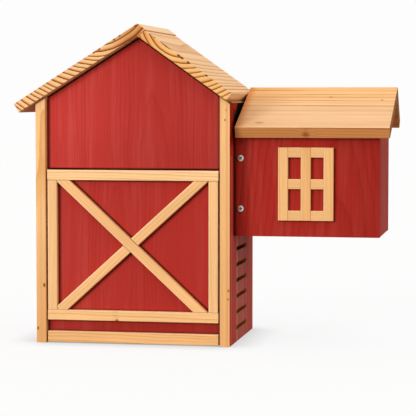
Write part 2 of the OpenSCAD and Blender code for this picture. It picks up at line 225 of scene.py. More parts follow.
def late_wood(tree, radius, sawn, ring, line, end_line, even, seed):
    """How late the wood is at each point, from 0 in the spring to 1 at the end of a year's ring.

    The years are radius / ring, and 1.6 times a slow noise that makes some of them wide. In a year the tone
    is its fraction to the power line, brought back to 0 over the last 7 in 100, times the year's own
    strength, which lies between even and 1, and over 0.75 on end grain.
    """
    pace = add(tree, "Math", {0: radius, 1: 1 / (ring * 4)}, operation="MULTIPLY")
    pace = add(tree, "TexNoise", {"W": pace, "Scale": 1.0, "Detail": 1.0}, noise_dimensions="1D")
    pace = add(tree, "Math", {0: pace, 1: 1.6}, operation="MULTIPLY")
    years = add(tree, "Math", {0: radius, 1: 1 / ring, 2: pace}, operation="MULTIPLY_ADD")
    season = add(tree, "Math", {0: years}, operation="FRACT")
    power = add(tree, "MapRange", {0: sawn, 3: line, 4: end_line})
    rise = add(tree, "Math", {0: season, 1: power}, operation="POWER")
    drop = add(tree, "MapRange", {0: season, 1: 0.93, 2: 1.0, 3: 1.0, 4: 0.0},
               interpolation_type="SMOOTHSTEP")
    year = add(tree, "Math", {0: years}, operation="FLOOR")
    year = add(tree, "Math", {0: year, 1: seed + 0.5}, operation="ADD")
    luck = add(tree, "TexWhiteNoise", {"W": year}, noise_dimensions="1D").outputs["Value"]
    luck = add(tree, "Math", {0: luck, 1: 1.6}, operation="POWER")
    strength = add(tree, "MapRange", {0: luck, 1: 0.0, 2: 1.0, 3: even, 4: 1.0})
    least = add(tree, "Math", {0: sawn, 1: 0.75}, operation="MULTIPLY")
    strength = add(tree, "Math", {0: strength, 1: least}, operation="MAXIMUM")
    drop = add(tree, "Math", {0: drop, 1: strength}, operation="MULTIPLY")
    return add(tree, "Math", {0: rise, 1: drop}, operation="MULTIPLY")


def faded(tree, colour, coord, sawn, fades):
    """The colour times the tint of each fade."""
    for axis, start, stop, tint, on_ends in fades:
        along = add(tree, "SeparateXYZ", {0: coord}).outputs[axis]
        gone = add(tree, "MapRange", {0: along, 1: start / 1000, 2: stop / 1000},
                   interpolation_type="SMOOTHSTEP")
        if on_ends:
            elsewhere = add(tree, "Math", {0: 1.0, 1: sawn}, operation="SUBTRACT")
            gone = add(tree, "Math", {0: gone, 1: elsewhere}, operation="MAXIMUM")
        wash = add(tree, "Mix", {0: gone, 6: (*tint, 1.0), 7: (1, 1, 1, 1)}, data_type="RGBA").outputs[2]
        colour = add(tree, "VectorMath", {0: colour, 1: wash}, operation="MULTIPLY")
    return colour


def banded(tree, colour, coord, streaks, bands):
    """The colour under the lines that line_of describes, one over the other."""
    for direction, place, half, soft, shade, strength, patchy, low, high in bands:
        way = add(tree, "VectorMath", {0: coord, 1: Vector(direction).normalized() * 1000},
                  operation="DOT_PRODUCT")
        off = add(tree, "Math", {0: way.outputs["Value"], 1: place}, operation="SUBTRACT")
        off = add(tree, "Math", {0: off}, operation="ABSOLUTE")
        inside = add(tree, "MapRange", {0: off, 1: half, 2: half + soft, 3: strength, 4: 0.0},
                     interpolation_type="SMOOTHSTEP")
        rub = add(tree, "MapRange", {0: streaks, 1: 0.35, 2: 0.65, 3: 1 - patchy, 4: 1.0})
        inside = add(tree, "Math", {0: inside, 1: rub}, operation="MULTIPLY")
        if low is not None:
            end_axis = "X" if abs(direction[2]) > 0.99 else "Z"
            along = add(tree, "SeparateXYZ", {0: coord}).outputs[end_axis]
            between = add(tree, "Math", {0: along, 1: (low + high) / 2000, 2: (high - low) / 2000},
                          operation="COMPARE")
            inside = add(tree, "Math", {0: inside, 1: between}, operation="MULTIPLY")
        colour = add(tree, "Mix", {0: inside, 6: colour, 7: linear(shade)}, data_type="RGBA").outputs[2]
    return colour


def pine(name, grain, pith, early, late, ring=4.0, cone=0.02, line=3.2, contrast=0.6, wander=14.0,
         streak=0.10, worn=None, end_early=None, end_late=None, end_shade=0.75, end_line=3.2,
         end_contrast=1.0, even=0.4, knots=(), fades=(), bands=(), seed=0.0):
    """Pine as it grows: rings about a pith line, in millimetres.

    Object coordinates are turned by grain so that it runs along Z, with the pith at the origin. A point's
    ring is its distance from the pith, more by cone for each millimetre along it, bent by a slow noise of
    wander, over the width ring. In each ring the colour goes from early to late by the power line and
    contrast. End grain has its own colours, power and contrast, or the same colours times end_shade. Noise
    drawn out along the grain gives broad patches and streaks, by streak, and hair-fine fibres. worn is the
    colour of a stain's paler streaks.
    """
    fibre, rough = 0.08, 0.62
    wood = bpy.data.materials.new(name)
    tree = blank(wood)
    turn = Euler(grain).to_matrix()
    coord = add(tree, "TexCoord").outputs["Object"]
    sawn = add(tree, "Attribute", attribute_name="end_grain").outputs["Fac"]
    log = add(tree, "Mapping", {"Vector": coord, "Location": -(turn @ Vector(pith)), "Rotation": grain,
                                "Scale": (1000, 1000, 1000)})
    drift = drawn_out(tree, log, 60, 170, (seed, seed * 1.7, seed * 0.6), roughness=0.45).outputs["Color"]
    bend = add(tree, "VectorMath", {0: drift, 1: (wander, wander, 0), 2: (-wander / 2, -wander / 2, 0)},
               operation="MULTIPLY_ADD")
    bent = add(tree, "VectorMath", {0: log, 1: bend}, operation="ADD")
    flat = add(tree, "VectorMath", {0: bent, 1: (1, 1, 0)}, operation="MULTIPLY")
    away = add(tree, "VectorMath", {0: flat}, operation="LENGTH").outputs["Value"]
    height = add(tree, "SeparateXYZ", {0: log}).outputs["Z"]
    radius = add(tree, "Math", {0: height, 1: cone, 2: away}, operation="MULTIPLY_ADD")
    radius, core = round_knots(tree, log, turn, pith, radius, knots)
    tone = late_wood(tree, radius, sawn, ring, line, end_line, even, seed)

    depth = add(tree, "MapRange", {0: sawn, 3: contrast, 4: end_contrast})
    share = add(tree, "Math", {0: tone, 1: depth}, operation="MULTIPLY", use_clamp=True)
    early_end = linear(end_early) if end_early else (*[c * end_shade for c in linear(early)[:3]], 1.0)
    veil = resin(tree, share, linear(early), linear(late))
    if end_late:
        end_veil = resin(tree, share, early_end, linear(end_late))
        veil = add(tree, "Mix", {0: sawn, 6: veil, 7: end_veil}, data_type="RGBA").outputs[2]
    pale = linear(early)
    if worn:
        brush = drawn_out(tree, bent, 12, 300, (0, seed, 7), roughness=0.65)
        thin = add(tree, "MapRange", {0: brush, 1: 0.42, 2: 0.72}, interpolation_type="SMOOTHSTEP")
        pale = add(tree, "Mix", {0: thin, 6: pale, 7: linear(worn)}, data_type="RGBA").outputs[2]
    pale = add(tree, "Mix", {0: sawn, 6: pale, 7: early_end}, data_type="RGBA").outputs[2]
    colour = add(tree, "VectorMath", {0: pale, 1: veil}, operation="MULTIPLY")

    streaks = drawn_out(tree, bent, 2.4, 90, (seed, 0, 0), roughness=0.6)
    hair = drawn_out(tree, bent, 0.45, 14, detail=2.0, roughness=0.6)
    patch = drawn_out(tree, log, 45, 160, (0, seed, 3), detail=2.0)
    plain = 1 - streak * 2 - fibre
    light = add(tree, "Math", {0: streaks, 1: streak * 2, 2: plain}, operation="MULTIPLY_ADD")
    light = add(tree, "Math", {0: hair, 1: fibre * 2, 2: light}, operation="MULTIPLY_ADD")
    light = add(tree, "Math", {0: patch, 1: streak * 2, 2: light}, operation="MULTIPLY_ADD")
    colour = add(tree, "VectorMath", {0: colour, "Scale": light}, operation="SCALE")
    if core is not None:
        heart = add(tree, "VectorMath", {0: linear(late)[:3], 1: (0.55, 0.40, 0.30)}, operation="MULTIPLY")
        colour = add(tree, "Mix", {0: core, 6: colour, 7: heart}, data_type="RGBA").outputs[2]
    colour = faded(tree, colour, coord, sawn, fades)
    colour = banded(tree, colour, coord, streaks, bands)

    gloss = add(tree, "Math", {0: hair, 1: 0.16, 2: rough - 0.08}, operation="MULTIPLY_ADD")
    relief = add(tree, "Math", {0: tone, 1: 0.5, 2: hair}, operation="MULTIPLY_ADD")
    bump = add(tree, "Bump", {"Strength": 0.35, "Distance": 0.00012, "Height": relief})
    shader = add(tree, "BsdfPrincipled", {"Base Color": colour, "Roughness": gloss, "Normal": bump,
                                          "Specular IOR Level": 0.02})
    add(tree, "OutputMaterial", {"Surface": shader})
    return wood


def eased(node, body, grain, skins, which=None, arris=0.6):
    """A board with sanded edges: the CAD node's triangles merged into flat faces, and its arrises rounded.

    The round is a Bevel of arris millimetres on every edge sharper than 30 degrees. Faces that cross the
    grain get end_grain 1. which(at, facing) gives each face the number of its material in skins, from the X,
    Y and Z of its middle, in millimetres, and of its normal.
    """
    sharp = math.radians(30)
    merged = bmesh.new()
    merged.from_mesh(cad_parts[node].data)
    bmesh.ops.remove_doubles(merged, verts=merged.verts, dist=2e-6)
    bmesh.ops.dissolve_limit(merged, angle_limit=math.radians(0.4), verts=merged.verts, edges=merged.edges)
    board = bpy.data.meshes.new(node + "_board")
    merged.to_mesh(board)
    merged.free()
    count = len(board.polygons)
    middle, normal = np.zeros(count * 3), np.zeros(count * 3)
    board.polygons.foreach_get("center", middle)
    board.polygons.foreach_get("normal", normal)
    middle, normal = middle.reshape(-1, 3) * 1000, normal.reshape(-1, 3)
    along = np.array(Euler(grain).to_matrix().inverted() @ Vector((0, 0, 1)))
    cross_cut = (np.abs(normal @ along) > 0.6).astype(np.float32)
    board.attributes.new("end_grain", "FLOAT", "FACE").data.foreach_set("value", cross_cut)
    for skin in skins:
        board.materials.append(skin)
    if which is not None:
        board.polygons.foreach_set("material_index", which(middle.T, normal.T).astype(np.int32))
    board.shade_smooth()
    board.set_sharp_from_angle(angle=sharp)
    piece = bpy.data.objects.new(node + "_board", board)
    scene.collection.objects.link(piece)
    ease = piece.modifiers.new("eased_arrises", "BEVEL")
    ease.width = arris / 1000
    ease.segments = 2
    ease.limit_method = "ANGLE"
    ease.angle_limit = sharp
    ease.harden_normals = True
    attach(piece, body)
    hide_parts(node)
    return piece


# Bare pine inside, which looks pale honey with soft brown rings.
bare_upright = pine(
    "bare_pine_inside_upright", UPRIGHT, (-300, 20, 0), "#DDAA72", "#B9793F", ring=5.0, contrast=0.5,
    seed=3.0)
bare_side = pine(
    "bare_pine_inside_sides", UPRIGHT, (40, 20, 0), "#D9A66E", "#B5763D", ring=4.2, contrast=0.55, seed=5.0)
# Red stain outside: matt brick red, with the rings darker in it. On the right it is rubbed pale by climbing,
# worn to the wood along the edges, and painted nearly black as shade in the narrow gap beside the annex.
# Above the annex roof and along the top, under the main roof, it is painted dark as their shadows.
left_stain = pine(
    "red_stained_pine_left_side", UPRIGHT, (-60, 30, 0), "#B42C22", "#8A1A11", ring=4.5, contrast=0.35,
    worn="#BE453A", streak=0.07, end_contrast=0.4, end_shade=0.4, seed=1.0)
climbed = {"low": -5, "high": 240}
right_stain = pine(
    "red_stained_pine_right_side", UPRIGHT, (70, 5, 0), "#CE4C3C", "#7C1E14", ring=5.5, contrast=0.7,
    worn="#CA6456", streak=0.12, end_contrast=0.4, end_shade=0.4, seed=2.0,
    # painted shadow: the Z fade darkens the panel's top, under the main roof
    fades=(fade("Y", -84, -45, (0.98, 0.50, 0.42)), fade("Z", 262, 245, (0.52, 0.24, 0.16))),
    bands=(
        line_of("#C07466", DEEP, 0, 39, 2, 0.6, 0.9, **climbed),
        line_of("#DC9870", DEEP, -36.5, 3, 5, 0.8, 0.7, **climbed),
        line_of("#D0705E", DEEP, -79, 2.5, 5, 0.6, 0.6, **climbed),
        line_of("#8A2A20", DEEP, 28, 2, 7, 0.5, 0.9, **climbed),
        line_of("#DA9266", DEEP, face("right_side_panel", "+Y"), 3, 4, 0.75, 0.3),
        # painted shade, nearly black, in the gap beside the annex, and painted shadow above the annex roof
        line_of("#2A0402", DEEP, face("annex_front_panel", "-Y") + 2, 2, 5, 0.9, 0.1, 138, 300),
        line_of("#080000", (0, -0.566, 0.824), 255, 13, 8, 1.0, 0, 279, 345)))
# The slots' cut faces: bare pine, painted darker and browner than the wood inside, as painted shade deep in
# the slots.
slot_shade_wood = pine(
    "pine_in_the_slots_painted_shade", ALONG_Y, (118, 0, -60), "#C07434", "#7A4218", ring=3.0, contrast=0.6,
    seed=31.0)


def right_side_skins(at, facing):
    """0 for the stain outside, 1 for bare wood inside and in the doorway, and 2 for the slots, painted
    darker as shade.
    """
    inside = (at[0] < face("right_side_panel", "+X") - 0.2) & (np.abs(at[1]) < 60) & (at[2] > 2)
    in_slot = (np.abs(facing[0]) < 0.5) & (at[2] > 2) & (at[2] < 135)
    return (inside | (facing[2] > 0.3)) * (1 + in_slot)


eased("left_side_panel", "house", UPRIGHT, (left_stain, bare_side),
      lambda at, facing: (facing[0] > 0.5) | (facing[2] > 0.3))
eased("right_side_panel", "house", UPRIGHT, (right_stain, bare_side, slot_shade_wood),
      right_side_skins)

# The two corner posts: planed pine battens, glued to the front edges of the side panels. Their front faces
# are bare, the stain runs over their outer sides, and the right one's side in the door's gap is painted
# dark, as painted shade.
# The roof boards' undersides, or soffits, are planes that meet at the top of the back panel.
LEFT_PITCH, RIGHT_PITCH = math.radians(32.0), math.radians(35.5)
left_rise = (-math.sin(LEFT_PITCH), 0, math.cos(LEFT_PITCH))
right_rise = (math.sin(RIGHT_PITCH), 0, math.cos(RIGHT_PITCH))
apex = Vector((face("roof_right_board", "-X"), 0, face("back_panel", "+Z")))
left_soffit, right_soffit = apex.dot(Vector(left_rise)), apex.dot(Vector(right_rise))
# Planed pine: warm straw with thin orange rings, a little greyer towards the ground, with a painted black
# shade line at the roof and painted brown shade on the edges beside the door's gap.
left_post_wood = pine(
    "planed_pine_left_post", UPRIGHT, (-118, -128, 0), "#F8C488", "#D08843", ring=3.0, cone=0.03, even=0.0,
    wander=10.0, streak=0.14, seed=4.0,
    fades=(fade("Z", 0, 230, (0.84, 0.73, 0.62)),),
    bands=(
        # painted shade: a black line under the roof, and brown on the inner edge
        line_of("#2A1206", left_rise, left_soffit - 0.1, 0.5, 1.5, 0.9, 0),
        line_of("#D28C50", ACROSS, face("left_post", "+X"), 0, 1.6),
        line_of("#C98A4C", ACROSS, -119.0, 0.4, 1.6, 0.3, 0.9)),
    knots=(knot(-115.2, -92.5, 74.1, 1.8), knot(-123.6, -92.5, 18.5, 1.4)))
right_post_wood = pine(
    "planed_pine_right_post", UPRIGHT, (60, -84, 0), "#F7C083", "#DB9550", ring=3.6, cone=0.01, even=0.0,
    wander=8.0, streak=0.14, seed=6.0,
    fades=(fade("Z", 0, 230, (0.93, 0.86, 0.80)),),
    bands=(
        # painted shade: a black line under the roof
        line_of("#2A1206", right_rise, right_soffit - 0.1, 0.5, 1.5, 0.9, 0),
        line_of("#DC9750", ACROSS, 122.0, 0.3, 2.0, 0.6, 0.4),
        # painted shade on the left edge, beside the door's gap
        line_of("#D98E4A", ACROSS, face("right_post", "-X") + 0.4, 0.2, 1.0, 0.6, 0.3)),
    knots=(
        knot(123.8, -92.5, 71.2, 1.3), knot(123.4, -92.5, 60.4, 1.1), knot(119.5, -92.5, 285.6, 1.0),
        knot(120.8, -92.5, 298.1, 0.8)))
# The edges beside narrow gaps: painted near-black brown, as painted shade for the gaps' deep shadow.
gap_shade = pine(
    "pine_in_the_gaps_painted_shade", UPRIGHT, (0, -40, 0), "#4A1E0F", "#2C1008", contrast=0.4, end_shade=0.5,
    seed=30.0)
eased("left_post", "house", UPRIGHT, (left_post_wood, left_stain),
      lambda at, facing: facing[0] < -0.9, arris=0.9)
eased("right_post", "house", UPRIGHT, (right_post_wood, right_stain, gap_shade),
      lambda at, facing: (facing[0] > 0.9) * 1 + (facing[0] < -0.9) * 2, arris=0.9)

# The back and the floor: the same half-inch pine. The back is stained outside, with two holes for the screws
# that hang the house. The floor lies between the walls, bare, with four drain holes.
back_stain = pine(
    "red_stained_pine_back", UPRIGHT, (30, 30, 0), "#B02C22", "#7E120A", ring=4.6, contrast=0.4,
    worn="#BF4A3F", end_contrast=0.4, end_shade=0.4, seed=7.0)
# Sawn pine: duller and browner than planed wood.
floor_wood = pine("sawn_pine_floor", ALONG_X, (0, 10, 60), "#D6A46C", "#AE7038", ring=4.4, seed=8.0)
eased("back_panel", "house", UPRIGHT, (back_stain, bare_upright),
      lambda at, facing: (at[1] < face("back_panel", "+Y") - 0.2) & (np.abs(facing[0]) < 0.9))
eased("floor_panel", "house", ALONG_X, (floor_wood,))

# The gable front: one wide red-stained board that fills the triangle between the posts above the door, set
# back 8 mm from the posts' faces and 2.4 mm short of the roof. Inside it is bare, and its top edges are
# painted dark, as painted shade in the gap under the roof.
gable_left, gable_right = face("gable_front_panel", "-X") + 1.8, face("gable_front_panel", "+X") - 1.8
# A thicker coat of the stain, with hardly a ring to see, paler on the left, partly uneven stain and partly
# painted sheen, a little darker towards the bottom, and with painted shade in its corners.
gable_stain = pine(
    "red_stained_pine_gable", UPRIGHT, (30, -40, 0), "#B6362F", "#8E1B12", ring=3.2, cone=0.004,
    contrast=0.3, worn="#BC423B", streak=0.04, end_contrast=0.4, end_shade=0.3, seed=9.0,
    fades=(fade("X", -112, 40, (1.31, 1.42, 1.45)), fade("Z", 222, 290, (0.90, 0.90, 0.90))),
    bands=(
        line_of("#4A0F08", UP, face("gable_front_panel", "-Z") - 1.4, 1, 3),
        line_of("#4A0F08", ACROSS, gable_left, 0, 3.4, 0.9),
        line_of("#4A0F08", ACROSS, gable_right, 0, 2.5)))
eased("gable_front_panel", "house", UPRIGHT, (gable_stain, bare_upright, gap_shade),
      lambda at, facing: (facing[1] > 0.5) * 1 + (facing[2] > 0.3) * 2)

# The two main roof boards: clear-sealed pine, 13 and 12 mm thick, with the grain from front to back. The
# left board runs on over the bevelled top of the right one. Their undersides are painted a darker brown, as
# painted shade.
PITCHED_LEFT = (ALONG_Y[0], 0, LEFT_PITCH)
PITCHED_RIGHT = (ALONG_Y[0], 0, -RIGHT_PITCH)
roof_front = face("roof_left_board", "-Y")
# Sealed pine: honey with brown rings, and on the front ends dark crisp ones, with black spots along the top,
# and a painted brown shade along the lower arris of each front end.
left_roof_wood = pine(
    "sealed_pine_roof_left", PITCHED_LEFT, (-46.0, roof_front, 455.0), "#F3BC86", "#964F1E", ring=6.2,
    cone=0.0, line=4.5, contrast=0.7, wander=7.0, even=0.0, streak=0.12, end_early="#FBCA90",
    end_late="#823208", end_line=5.0, end_contrast=2.0, seed=11.0,
    fades=(fade("X", 2, -42, (0.72, 0.56, 0.42), on_ends=True),),
    # painted shade along the lower arris
    bands=(line_of("#8A4A20", left_rise, left_soffit + 0.1, 0.3, 1.0, 0.8),),
    knots=[knot(x, roof_front, z, size, 0, black) for x, z, size, black in (
        (-21.5, 387.0, 2.2, 0.85), (-14.5, 391.4, 2.0, 0.85), (-41.0, 374.9, 2.2, 0.85),
        (-47.5, 370.4, 1.8, 1.0), (5.5, 404.0, 2.0, 0.8), (-30.0, 381.6, 1.5, 0.6))])
# The bevelled lap at the ridge: the same pine painted paler, as painted light on a face the lamps light
# less.
lap_lit_wood = pine(
    "sealed_pine_ridge_lap_painted_light", PITCHED_LEFT, (-54.0, roof_front, 387.2), "#FDD8AA", "#B0682E", ring=4.5,
    cone=0.0, line=4.5, contrast=0.8, wander=7.0, even=0.05, end_early="#F0C08A", end_late="#5E1A03",
    seed=11.5)
right_roof_wood = pine(
    "sealed_pine_roof_right", PITCHED_RIGHT, (72.6, roof_front, 413.5), "#FACC9A", "#8E4A1C", ring=6.4,
    cone=0.0, line=4.5, contrast=1.0, wander=6.0, even=0.3, streak=0.12, end_early="#F8C27E",
    end_late="#8A3808", end_line=5.0, end_contrast=1.8, seed=12.0,
    fades=(fade("X", 8, 55, (0.92, 0.78, 0.66), on_ends=True),),
    # painted shade along the lower arris
    bands=(line_of("#A05A28", right_rise, right_soffit + 0.25, 0.2, 1.0, 0.6),),
    knots=[knot(x, roof_front, z, size, 0) for x, z, size in (
        (31.3, 389.8, 2.0), (46.3, 379.0, 1.8), (62.2, 366.7, 2.8), (66.3, 363.5, 2.6), (74.4, 358.2, 2.6),
        (97.2, 341.0, 1.8))])
# The undersides: a flat, darker brown, painted as shade.
left_under_shade_wood = pine(
    "pine_roof_underside_left_painted_shade", ALONG_Y, (-63.5, roof_front, 392.5), "#DEA06C", "#A06C42", ring=6.0,
    contrast=0.5, end_shade=0.6, seed=11.5)
right_under_shade_wood = pine(
    "pine_roof_underside_right_painted_shade", ALONG_Y, (70.6, roof_front, 425.6), "#BE8052", "#8A5230", ring=6.0,
    contrast=0.5, end_shade=0.6, seed=12.5)
eased("roof_left_board", "house", ALONG_Y, (left_roof_wood, left_under_shade_wood, lap_lit_wood),
      lambda at, facing: ((facing[2] < -0.3) & (at[0] > -145)) * 1 + ((facing[0] > 0.3) & (at[2] > 385)) * 2)
eased("roof_right_board", "house", ALONG_Y, (right_roof_wood, right_under_shade_wood),
      lambda at, facing: (facing[2] < -0.3) & (at[0] < 120))

# The annex: four red-stained half-inch boards, of which the front and back are screwed to two bare cleats on
# the side panel. The end and the floor sit between them, and the floor has the entry hole.
annex_left = face("annex_front_panel", "-X")
pane_sides = [face("window_left_upright", "+X"), face("window_middle_upright", "+X")]
pane_tops = [face("window_top_rails", "-Z"), face("window_middle_rails", "-Z")]
# The same stain over a wide arched figure, with shadows at the window's edges and beside the house.
annex_stain = pine(
    "red_stained_pine_annex_front", UPRIGHT, (262, -20, 0), "#AC2D24", "#7C170D", ring=7.5, cone=0.10,
    contrast=0.38, wander=22.0, worn="#B23B31", streak=0.05, end_contrast=0.4, end_shade=0.4, seed=13.0,
    fades=(fade("X", 318, 190, (0.84, 0.78, 0.78)),),
    bands=[
        line_of("#300502", ACROSS, annex_left + 0.5, 0, 5),
        line_of("#3E0704", ACROSS, face("window_right_upright", "+X") + 0.3, 0.2, 1.6, 0.8,
                low=158, high=250.5),
        line_of("#3E0704", UP, face("window_right_upright", "-Z") - 0.3, 0.2, 1.6, 0.8, low=184, high=253.5)]
    + [line_of("#3E0704", ACROSS, x, 0, 2.0, 0.8, 0.1, 160, 250) for x in pane_sides]
    + [line_of("#3E0704", UP, z, 0, 2.0, 0.85, 0.1, 196, 240) for z in pane_tops])
annex_back_stain = pine(
    "red_stained_pine_annex_back", UPRIGHT, (200, 20, 0), "#A92A20", "#7A120A", ring=5.5, cone=0.06,
    contrast=0.45, wander=18.0, worn="#B9463B", end_contrast=0.4, end_shade=0.4, seed=14.0)
annex_end_stain = pine(
    "red_stained_pine_annex_end", UPRIGHT, (360, 10, 0), "#AC3C2F", "#7C2016", ring=5.0, contrast=0.45,
    worn="#B04C40", end_contrast=0.4, end_shade=0.4, seed=15.0)
annex_floor_stain = pine(
    "red_stained_pine_annex_floor", ALONG_X, (0, 5, 90), "#9A1E12", "#70120A", ring=5.0, contrast=0.5,
    end_contrast=0.4, end_shade=0.4, seed=16.0)
cleat_wood = pine("sawn_pine_cleats", UPRIGHT, (135, 90, 0), "#E2B077", "#BC7E42", ring=3.4, seed=17.0)
eased("annex_front_panel", "house", UPRIGHT, (annex_stain, bare_upright),
      lambda at, facing: (facing[1] > 0.5) | (facing[2] > 0.3))
eased("annex_back_panel", "house", UPRIGHT, (annex_back_stain, bare_upright),
      lambda at, facing: (facing[1] < -0.5) | (facing[2] > 0.3))
eased("annex_end_panel", "house", UPRIGHT, (annex_end_stain, bare_upright),
      lambda at, facing: (facing[0] < -0.5) | (facing[2] > 0.3))
eased("annex_floor_panel", "house", ALONG_X, (annex_floor_stain, bare_side),
      lambda at, facing: (facing[2] > 0.5)
      | (at[2] > 140) & (np.abs(at[0] - 168) < 40) & (np.abs(facing[2]) < 0.5))
eased("annex_front_cleat", "house", UPRIGHT, (cleat_wood,))
eased("annex_back_cleat", "house", UPRIGHT, (cleat_wood,))

# The annex roof: two clear-sealed pine boards, 14.5 mm thick, with the grain along the ridge. The front one
# has tight growth near the ridge and a few small knots.
front_eave = face("annex_roof_front_board", "-Y")
# Sealed pine again, with single dark rings as the real board has. It is painted brighter and warmer towards
# the ridge as painted light, darker and more orange next to the house as painted shade, with a painted
# highlight on the eave's arris, and its edges and undersides are painted brown as shade.
annex_roof_wood = pine(
    "sealed_pine_annex_roof", ALONG_X, (0, 90, 330), "#EBBE90", "#B46C30", ring=3.6, cone=0.012, line=3.0,
    contrast=0.7, wander=7.0, streak=0.13, even=0.1, seed=18.0,
    fades=(
        # painted light towards the ridge, and painted shade next to the house
        fade("Y", 50, -30, (1.15, 1.04, 0.82)), fade("X", 129, 142, (0.86, 0.60, 0.38)),
        fade("X", 129, 185, (1.02, 0.95, 0.88))),
    bands=(
        line_of("#B06A32", (0.01, 1, 0), -11.0, 0.6, 2.2, 0.8, 0.7),
        line_of("#B5713A", (0.01, 1, 0), -1.0, 0.2, 1.8, 0.6, 0.8),
        line_of("#B5713A", (0.02, 1, 0), 8, 0.3, 1.8, 0.8, 0.9),
        line_of("#B5713A", (0.01, 1, 0), 17, 0.3, 1.8, 0.8, 0.8),
        line_of("#B5713A", (0.02, 1, 0), 28, 0.3, 1.8, 0.8, 0.9),
        line_of("#B5713A", (0.01, 1, 0), 38, 0.3, 1.8, 0.8, 0.8),
        line_of("#C47C48", (0.01, 1, 0), -27, 0.2, 1.6, 0.35, 1.0),
        line_of("#C47C48", DEEP, -41, 0.5, 2.2, 0.3, 1.0),
        line_of("#C47C48", (0.01, 1, 0), -58, 0.2, 1.6, 0.35, 1.0),
        # painted highlight on the eave's arris
        line_of("#F8D8AE", DEEP, front_eave + 0.5, 0.3, 1.2, 0.7, 0.2)),
    knots=(
        knot(240.0, 14.6, 314.1, 1.7), knot(306.9, 5.6, 310.5, 1.3),
        knot(158.6, -66.1, 282.0, 4.2, 0.6, 0.35), knot(157.4, -66.8, 281.7, 1.2, 0, 0.6)))
# The eave faces, ends and undersides: a darker brown, painted as shade.
annex_edge_shade_wood = pine(
    "pine_annex_roof_edges_painted_shade", ALONG_X, (0, -52, 214), "#D38D52", "#83481F", ring=3.6, wander=9.0,
    streak=0.14, end_early="#A5683A", end_late="#5C2E14", end_contrast=0.8, seed=18.0,
    bands=(line_of("#A3552C", ACROSS, 218.9, 0.4, 4.0, 0.5, 0.8),),
    knots=(
        knot(218.9, -76.0, 267.6, 3.4, 0.7, 0.5), knot(218.6, -76.0, 267.0, 1.2, 0, 0.9),
        knot(226.8, -76.0, 272.5, 0.9)))
annex_rear_wood = pine(
    "sealed_pine_annex_roof_rear", ALONG_X, (0, 30, 240), "#EBB67C", "#B5713A", ring=4.4, cone=0.01,
    contrast=0.7, wander=9.0, seed=19.0)
eased("annex_roof_front_board", "house", ALONG_X, (annex_roof_wood, annex_edge_shade_wood),
      lambda at, facing: facing[2] < 0.5)
eased("annex_roof_rear_board", "house", ALONG_X, (annex_rear_wood, annex_edge_shade_wood),
      lambda at, facing: facing[2] < 0.5)

# The screws: zinc-plated steel wood screws with a pan head and a cross recess, 4 mm across the thread. Two
# go through the annex front, two through its back, and four through the cleats. Zinc plate looks light grey
# and softly mottled, with grime and painted shade in the recess.
zinc = bpy.data.materials.new("zinc_plated_steel")
tree = blank(zinc)
coord = add(tree, "TexCoord").outputs["Object"]
mottle = add(tree, "TexNoise", {"Vector": coord, "Scale": 900.0, "Detail": 3.0})
grey = add(tree, "Mix", {0: mottle, 6: linear("#ACA8A0"), 7: linear("#D2CEC6")}, data_type="RGBA").outputs[2]
# grime and painted shade in the recess
grime_and_shade = add(tree, "Attribute", attribute_name="recess").outputs["Fac"]
grey = add(tree, "Mix", {0: grime_and_shade, 6: grey, 7: linear("#7A6E60")}, data_type="RGBA").outputs[2]
dull = add(tree, "Math", {0: mottle, 1: 0.2, 2: 0.36}, operation="MULTIPLY_ADD")
shader = add(tree, "BsdfPrincipled", {"Base Color": grey, "Metallic": 1.0, "Roughness": dull})
add(tree, "OutputMaterial", {"Surface": shader})


def turned(name, radius, height, recess, places, skin):
    """A turned piece: radius and height are grids, first index along the profile and second round the axis.

    A point is (radius cos a, radius sin a, height) in millimetres, copied to each of the places, which are 4
    x 4 matrices. The first and last rows lie on the axis and are closed by merging their doubles. recess, a
    grid too, goes into an attribute, for the grime and the painted shade in the head's recess.
    """
    rows, steps = radius.shape
    angle = np.arange(steps) * 2 * np.pi / steps
    points = np.stack([radius * np.cos(angle), radius * np.sin(angle), height, np.ones_like(radius)], -1)
    points = points.reshape(-1, 4)
    i, j = np.meshgrid(np.arange(rows - 1), np.arange(steps), indexing="ij")
    k = (j + 1) % steps
    quads = np.stack([i * steps + j, (i + 1) * steps + j, (i + 1) * steps + k, i * steps + k], -1)
    quads = quads.reshape(-1, 4)
    solid = bpy.data.meshes.new(name)
    solid.from_pydata(np.concatenate([(points @ np.array(m).T)[:, :3] for m in places]) / 1000, [],
                      np.concatenate([quads + n * len(points) for n in range(len(places))]))
    depth = np.tile(recess.ravel(), len(places)).astype(np.float32)
    solid.attributes.new("recess", "FLOAT", "POINT").data.foreach_set("value", depth)
    closed = bmesh.new()
    closed.from_mesh(solid)
    bmesh.ops.remove_doubles(closed, verts=closed.verts, dist=1e-7)
    bmesh.ops.recalc_face_normals(closed, faces=closed.faces)
    closed.to_mesh(solid)
    closed.free()
    solid.materials.append(skin)
    solid.shade_smooth()
    solid.set_sharp_from_angle(angle=math.radians(38))
    piece = bpy.data.objects.new(name, solid)
    scene.collection.objects.link(piece)
    return piece


HEAD_R = 4.2


